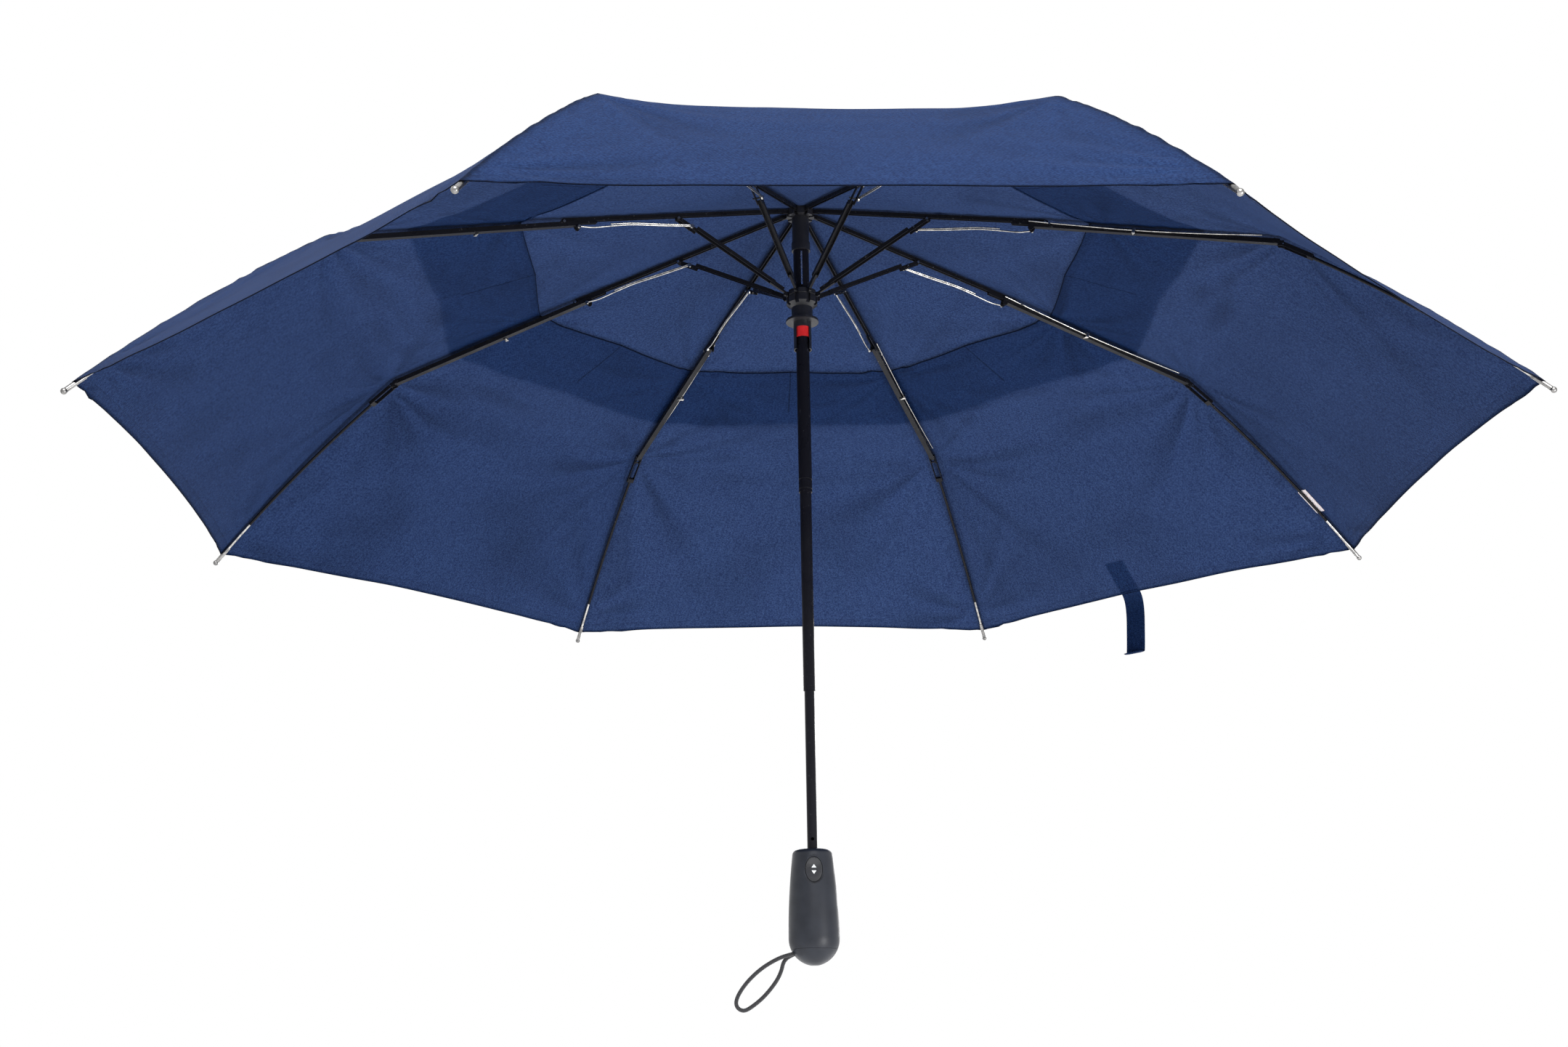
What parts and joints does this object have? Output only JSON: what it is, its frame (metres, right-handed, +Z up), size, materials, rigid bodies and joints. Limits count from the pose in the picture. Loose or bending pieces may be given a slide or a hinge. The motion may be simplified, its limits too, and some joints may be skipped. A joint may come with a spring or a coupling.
{
  "type": "folding umbrella",
  "caption": "Folding umbrella, open: double navy canopy on folding metal ribs, telescoping black shaft and a dark push-button grip with a wrist cord.",
  "frame": {"origin": "centre of the hand grip, on the shaft axis, umbrella open", "axes": "+Z up the shaft from the grip to the crown, -Y the side with the push button"},
  "size_m": [0.9744, 0.9744, 0.6181],
  "materials": {
    "canopy_fabric": "matte woven",
    "label_fabric": "matte",
    "rib_steel": "gloss",
    "spring_steel": "bright",
    "black_tube": "gloss",
    "black_plastic": "satin",
    "grip_plastic": "satin",
    "button_plastic": "satin",
    "red_plastic": "satin",
    "cord": "matte"
  },
  "bodies": {
    "grip": {"grip_shell": "grip_plastic", "grip_core": "black_plastic", "end_cap": "grip_plastic", "lower_tube": "black_tube", "main_spring": "spring_steel", "button_spring": "spring_steel", "wrist_cord": "cord"},
    "button": {"push_button": "button_plastic"},
    "middle_tube": {"middle_tube": "black_tube"},
    "crown": {"crown": "black_plastic", "top_cap": "black_plastic", "crown_sleeve": "black_plastic", "catch_spring": "spring_steel", "top_tube": "black_tube", "canopy_upper": "canopy_fabric", "canopy_lower": "canopy_fabric"},
    "runner": {"runner": "black_plastic", "red_band": "red_plastic"},
    "inner_rib_1": {"inner_rib_1": "rib_steel"},
    "middle_rib_1": {"middle_rib_1": "rib_steel"},
    "outer_rib_1": {"outer_rib_1": "rib_steel", "care_label": "label_fabric"},
    "strut_1": {"strut_1": "rib_steel"},
    "drive_wire_1": {"drive_wire_1": "spring_steel"},
    "inner_rib_2": {"inner_rib_2": "rib_steel"},
    "middle_rib_2": {"middle_rib_2": "rib_steel"},
    "outer_rib_2": {"outer_rib_2": "rib_steel", "closure_strap": "canopy_fabric"},
    "strut_2": {"strut_2": "rib_steel"},
    "drive_wire_2": {"drive_wire_2": "spring_steel"},
    "inner_rib_3": {"inner_rib_3": "rib_steel"},
    "middle_rib_3": {"middle_rib_3": "rib_steel"},
    "outer_rib_3": {"outer_rib_3": "rib_steel"},
    "strut_3": {"strut_3": "rib_steel"},
    "drive_wire_3": {"drive_wire_3": "spring_steel"},
    "inner_rib_4": {"inner_rib_4": "rib_steel"},
    "middle_rib_4": {"middle_rib_4": "rib_steel"},
    "outer_rib_4": {"outer_rib_4": "rib_steel"},
    "strut_4": {"strut_4": "rib_steel"},
    "drive_wire_4": {"drive_wire_4": "spring_steel"},
    "inner_rib_5": {"inner_rib_5": "rib_steel"},
    "middle_rib_5": {"middle_rib_5": "rib_steel"},
    "outer_rib_5": {"outer_rib_5": "rib_steel"},
    "strut_5": {"strut_5": "rib_steel"},
    "drive_wire_5": {"drive_wire_5": "spring_steel"},
    "inner_rib_6": {"inner_rib_6": "rib_steel"},
    "middle_rib_6": {"middle_rib_6": "rib_steel"},
    "outer_rib_6": {"outer_rib_6": "rib_steel"},
    "strut_6": {"strut_6": "rib_steel"},
    "drive_wire_6": {"drive_wire_6": "spring_steel"},
    "inner_rib_7": {"inner_rib_7": "rib_steel"},
    "middle_rib_7": {"middle_rib_7": "rib_steel"},
    "outer_rib_7": {"outer_rib_7": "rib_steel"},
    "strut_7": {"strut_7": "rib_steel"},
    "drive_wire_7": {"drive_wire_7": "spring_steel"},
    "inner_rib_8": {"inner_rib_8": "rib_steel"},
    "middle_rib_8": {"middle_rib_8": "rib_steel"},
    "outer_rib_8": {"outer_rib_8": "rib_steel"},
    "strut_8": {"strut_8": "rib_steel"},
    "drive_wire_8": {"drive_wire_8": "spring_steel"}
  },
  "joints": [
    {"name": "button_press", "type": "slide", "parent": "grip", "child": "button", "axis": [0, 1, 0], "range_m": [0, 0.0015], "stiffness_N_per_m": 900, "springref_m": -0.001},
    {"name": "lower_telescope", "type": "slide", "parent": "grip", "child": "middle_tube", "axis": [0, 0, -1], "range_m": [0, 0.106]},
    {"name": "upper_telescope", "type": "slide", "parent": "middle_tube", "child": "crown", "axis": [0, 0, -1], "range_m": [0, 0.14]},
    {"name": "runner_slide", "type": "slide", "parent": "crown", "child": "runner", "axis": [0, 0, -1], "range_m": [0, 0.12789], "deforming": ["canopy_upper", "canopy_lower", "closure_strap", "care_label"]},
    {"name": "inner_hinge_1", "type": "hinge", "parent": "crown", "child": "inner_rib_1", "pos_m": [0.00785, 0.00325, 0.535], "axis": [0.3827, -0.9239, 0], "range_deg": [-74.92, 0]},
    {"name": "middle_hinge_1", "type": "hinge", "parent": "inner_rib_1", "child": "middle_rib_1", "pos_m": [0.17859, 0.07397, 0.4919], "axis": [0.3827, -0.9239, 0], "range_deg": [0, 181.32]},
    {"name": "outer_hinge_1", "type": "hinge", "parent": "middle_rib_1", "child": "outer_rib_1", "pos_m": [0.33476, 0.13866, 0.44416], "axis": [0.3827, -0.9239, 0], "range_deg": [-155.1, 0]},
    {"name": "strut_hinge_1", "type": "hinge", "parent": "inner_rib_1", "child": "strut_1", "pos_m": [0.09507, 0.03938, 0.5115], "axis": [0.3827, -0.9239, 0], "range_deg": [0, 139.21]},
    {"name": "wire_hinge_1", "type": "hinge", "parent": "strut_1", "child": "drive_wire_1", "pos_m": [0.08548, 0.03541, 0.5061], "axis": [0.3827, -0.9239, 0], "range_deg": [-137.2, 0]},
    {"name": "inner_hinge_2", "type": "hinge", "parent": "crown", "child": "inner_rib_2", "pos_m": [0.00325, 0.00785, 0.535], "axis": [0.9239, -0.3827, 0], "range_deg": [-74.92, 0]},
    {"name": "middle_hinge_2", "type": "hinge", "parent": "inner_rib_2", "child": "middle_rib_2", "pos_m": [0.07397, 0.17859, 0.4919], "axis": [0.9239, -0.3827, 0], "range_deg": [0, 181.32]},
    {"name": "outer_hinge_2", "type": "hinge", "parent": "middle_rib_2", "child": "outer_rib_2", "pos_m": [0.13866, 0.33476, 0.44416], "axis": [0.9239, -0.3827, 0], "range_deg": [-155.1, 0]},
    {"name": "strut_hinge_2", "type": "hinge", "parent": "inner_rib_2", "child": "strut_2", "pos_m": [0.03938, 0.09507, 0.5115], "axis": [0.9239, -0.3827, 0], "range_deg": [0, 139.21]},
    {"name": "wire_hinge_2", "type": "hinge", "parent": "strut_2", "child": "drive_wire_2", "pos_m": [0.03541, 0.08548, 0.5061], "axis": [0.9239, -0.3827, 0], "range_deg": [-137.2, 0]},
    {"name": "inner_hinge_3", "type": "hinge", "parent": "crown", "child": "inner_rib_3", "pos_m": [-0.00325, 0.00785, 0.535], "axis": [0.9239, 0.3827, 0], "range_deg": [-74.92, 0]},
    {"name": "middle_hinge_3", "type": "hinge", "parent": "inner_rib_3", "child": "middle_rib_3", "pos_m": [-0.07397, 0.17859, 0.4919], "axis": [0.9239, 0.3827, 0], "range_deg": [0, 181.32]},
    {"name": "outer_hinge_3", "type": "hinge", "parent": "middle_rib_3", "child": "outer_rib_3", "pos_m": [-0.13866, 0.33476, 0.44416], "axis": [0.9239, 0.3827, 0], "range_deg": [-155.1, 0]},
    {"name": "strut_hinge_3", "type": "hinge", "parent": "inner_rib_3", "child": "strut_3", "pos_m": [-0.03938, 0.09507, 0.5115], "axis": [0.9239, 0.3827, 0], "range_deg": [0, 139.21]},
    {"name": "wire_hinge_3", "type": "hinge", "parent": "strut_3", "child": "drive_wire_3", "pos_m": [-0.03541, 0.08548, 0.5061], "axis": [0.9239, 0.3827, 0], "range_deg": [-137.2, 0]},
    {"name": "inner_hinge_4", "type": "hinge", "parent": "crown", "child": "inner_rib_4", "pos_m": [-0.00785, 0.00325, 0.535], "axis": [0.3827, 0.9239, 0], "range_deg": [-74.92, 0]},
    {"name": "middle_hinge_4", "type": "hinge", "parent": "inner_rib_4", "child": "middle_rib_4", "pos_m": [-0.17859, 0.07397, 0.4919], "axis": [0.3827, 0.9239, 0], "range_deg": [0, 181.32]},
    {"name": "outer_hinge_4", "type": "hinge", "parent": "middle_rib_4", "child": "outer_rib_4", "pos_m": [-0.33476, 0.13866, 0.44416], "axis": [0.3827, 0.9239, 0], "range_deg": [-155.1, 0]},
    {"name": "strut_hinge_4", "type": "hinge", "parent": "inner_rib_4", "child": "strut_4", "pos_m": [-0.09507, 0.03938, 0.5115], "axis": [0.3827, 0.9239, 0], "range_deg": [0, 139.21]},
    {"name": "wire_hinge_4", "type": "hinge", "parent": "strut_4", "child": "drive_wire_4", "pos_m": [-0.08548, 0.03541, 0.5061], "axis": [0.3827, 0.9239, 0], "range_deg": [-137.2, 0]},
    {"name": "inner_hinge_5", "type": "hinge", "parent": "crown", "child": "inner_rib_5", "pos_m": [-0.00785, -0.00325, 0.535], "axis": [-0.3827, 0.9239, 0], "range_deg": [-74.92, 0]},
    {"name": "middle_hinge_5", "type": "hinge", "parent": "inner_rib_5", "child": "middle_rib_5", "pos_m": [-0.17859, -0.07397, 0.4919], "axis": [-0.3827, 0.9239, 0], "range_deg": [0, 181.32]},
    {"name": "outer_hinge_5", "type": "hinge", "parent": "middle_rib_5", "child": "outer_rib_5", "pos_m": [-0.33476, -0.13866, 0.44416], "axis": [-0.3827, 0.9239, 0], "range_deg": [-155.1, 0]},
    {"name": "strut_hinge_5", "type": "hinge", "parent": "inner_rib_5", "child": "strut_5", "pos_m": [-0.09507, -0.03938, 0.5115], "axis": [-0.3827, 0.9239, 0], "range_deg": [0, 139.21]},
    {"name": "wire_hinge_5", "type": "hinge", "parent": "strut_5", "child": "drive_wire_5", "pos_m": [-0.08548, -0.03541, 0.5061], "axis": [-0.3827, 0.9239, 0], "range_deg": [-137.2, 0]},
    {"name": "inner_hinge_6", "type": "hinge", "parent": "crown", "child": "inner_rib_6", "pos_m": [-0.00325, -0.00785, 0.535], "axis": [-0.9239, 0.3827, 0], "range_deg": [-74.92, 0]},
    {"name": "middle_hinge_6", "type": "hinge", "parent": "inner_rib_6", "child": "middle_rib_6", "pos_m": [-0.07397, -0.17859, 0.4919], "axis": [-0.9239, 0.3827, 0], "range_deg": [0, 181.32]},
    {"name": "outer_hinge_6", "type": "hinge", "parent": "middle_rib_6", "child": "outer_rib_6", "pos_m": [-0.13866, -0.33476, 0.44416], "axis": [-0.9239, 0.3827, 0], "range_deg": [-155.1, 0]},
    {"name": "strut_hinge_6", "type": "hinge", "parent": "inner_rib_6", "child": "strut_6", "pos_m": [-0.03938, -0.09507, 0.5115], "axis": [-0.9239, 0.3827, 0], "range_deg": [0, 139.21]},
    {"name": "wire_hinge_6", "type": "hinge", "parent": "strut_6", "child": "drive_wire_6", "pos_m": [-0.03541, -0.08548, 0.5061], "axis": [-0.9239, 0.3827, 0], "range_deg": [-137.2, 0]},
    {"name": "inner_hinge_7", "type": "hinge", "parent": "crown", "child": "inner_rib_7", "pos_m": [0.00325, -0.00785, 0.535], "axis": [-0.9239, -0.3827, 0], "range_deg": [-74.92, 0]},
    {"name": "middle_hinge_7", "type": "hinge", "parent": "inner_rib_7", "child": "middle_rib_7", "pos_m": [0.07397, -0.17859, 0.4919], "axis": [-0.9239, -0.3827, 0], "range_deg": [0, 181.32]},
    {"name": "outer_hinge_7", "type": "hinge", "parent": "middle_rib_7", "child": "outer_rib_7", "pos_m": [0.13866, -0.33476, 0.44416], "axis": [-0.9239, -0.3827, 0], "range_deg": [-155.1, 0]},
    {"name": "strut_hinge_7", "type": "hinge", "parent": "inner_rib_7", "child": "strut_7", "pos_m": [0.03938, -0.09507, 0.5115], "axis": [-0.9239, -0.3827, 0], "range_deg": [0, 139.21]},
    {"name": "wire_hinge_7", "type": "hinge", "parent": "strut_7", "child": "drive_wire_7", "pos_m": [0.03541, -0.08548, 0.5061], "axis": [-0.9239, -0.3827, 0], "range_deg": [-137.2, 0]},
    {"name": "inner_hinge_8", "type": "hinge", "parent": "crown", "child": "inner_rib_8", "pos_m": [0.00785, -0.00325, 0.535], "axis": [-0.3827, -0.9239, 0], "range_deg": [-74.92, 0]},
    {"name": "middle_hinge_8", "type": "hinge", "parent": "inner_rib_8", "child": "middle_rib_8", "pos_m": [0.17859, -0.07397, 0.4919], "axis": [-0.3827, -0.9239, 0], "range_deg": [0, 181.32]},
    {"name": "outer_hinge_8", "type": "hinge", "parent": "middle_rib_8", "child": "outer_rib_8", "pos_m": [0.33476, -0.13866, 0.44416], "axis": [-0.3827, -0.9239, 0], "range_deg": [-155.1, 0]},
    {"name": "strut_hinge_8", "type": "hinge", "parent": "inner_rib_8", "child": "strut_8", "pos_m": [0.09507, -0.03938, 0.5115], "axis": [-0.3827, -0.9239, 0], "range_deg": [0, 139.21]},
    {"name": "wire_hinge_8", "type": "hinge", "parent": "strut_8", "child": "drive_wire_8", "pos_m": [0.08548, -0.03541, 0.5061], "axis": [-0.3827, -0.9239, 0], "range_deg": [-137.2, 0]}
  ],
  "couplings": [
    {"joint": "inner_hinge_1", "follows": "runner_slide", "rad_per_m": -10.218},
    {"joint": "middle_hinge_1", "follows": "runner_slide", "rad_per_m": 24.738},
    {"joint": "outer_hinge_1", "follows": "runner_slide", "rad_per_m": -21.16},
    {"joint": "strut_hinge_1", "follows": "runner_slide", "rad_per_m": 18.99},
    {"joint": "wire_hinge_1", "follows": "runner_slide", "rad_per_m": -18.716},
    {"joint": "inner_hinge_2", "follows": "runner_slide", "rad_per_m": -10.218},
    {"joint": "middle_hinge_2", "follows": "runner_slide", "rad_per_m": 24.738},
    {"joint": "outer_hinge_2", "follows": "runner_slide", "rad_per_m": -21.16},
    {"joint": "strut_hinge_2", "follows": "runner_slide", "rad_per_m": 18.99},
    {"joint": "wire_hinge_2", "follows": "runner_slide", "rad_per_m": -18.716},
    {"joint": "inner_hinge_3", "follows": "runner_slide", "rad_per_m": -10.218},
    {"joint": "middle_hinge_3", "follows": "runner_slide", "rad_per_m": 24.738},
    {"joint": "outer_hinge_3", "follows": "runner_slide", "rad_per_m": -21.16},
    {"joint": "strut_hinge_3", "follows": "runner_slide", "rad_per_m": 18.99},
    {"joint": "wire_hinge_3", "follows": "runner_slide", "rad_per_m": -18.716},
    {"joint": "inner_hinge_4", "follows": "runner_slide", "rad_per_m": -10.218},
    {"joint": "middle_hinge_4", "follows": "runner_slide", "rad_per_m": 24.738},
    {"joint": "outer_hinge_4", "follows": "runner_slide", "rad_per_m": -21.16},
    {"joint": "strut_hinge_4", "follows": "runner_slide", "rad_per_m": 18.99},
    {"joint": "wire_hinge_4", "follows": "runner_slide", "rad_per_m": -18.716},
    {"joint": "inner_hinge_5", "follows": "runner_slide", "rad_per_m": -10.218},
    {"joint": "middle_hinge_5", "follows": "runner_slide", "rad_per_m": 24.738},
    {"joint": "outer_hinge_5", "follows": "runner_slide", "rad_per_m": -21.16},
    {"joint": "strut_hinge_5", "follows": "runner_slide", "rad_per_m": 18.99},
    {"joint": "wire_hinge_5", "follows": "runner_slide", "rad_per_m": -18.716},
    {"joint": "inner_hinge_6", "follows": "runner_slide", "rad_per_m": -10.218},
    {"joint": "middle_hinge_6", "follows": "runner_slide", "rad_per_m": 24.738},
    {"joint": "outer_hinge_6", "follows": "runner_slide", "rad_per_m": -21.16},
    {"joint": "strut_hinge_6", "follows": "runner_slide", "rad_per_m": 18.99},
    {"joint": "wire_hinge_6", "follows": "runner_slide", "rad_per_m": -18.716},
    {"joint": "inner_hinge_7", "follows": "runner_slide", "rad_per_m": -10.218},
    {"joint": "middle_hinge_7", "follows": "runner_slide", "rad_per_m": 24.738},
    {"joint": "outer_hinge_7", "follows": "runner_slide", "rad_per_m": -21.16},
    {"joint": "strut_hinge_7", "follows": "runner_slide", "rad_per_m": 18.99},
    {"joint": "wire_hinge_7", "follows": "runner_slide", "rad_per_m": -18.716},
    {"joint": "inner_hinge_8", "follows": "runner_slide", "rad_per_m": -10.218},
    {"joint": "middle_hinge_8", "follows": "runner_slide", "rad_per_m": 24.738},
    {"joint": "outer_hinge_8", "follows": "runner_slide", "rad_per_m": -21.16},
    {"joint": "strut_hinge_8", "follows": "runner_slide", "rad_per_m": 18.99},
    {"joint": "wire_hinge_8", "follows": "runner_slide", "rad_per_m": -18.716}
  ]
}
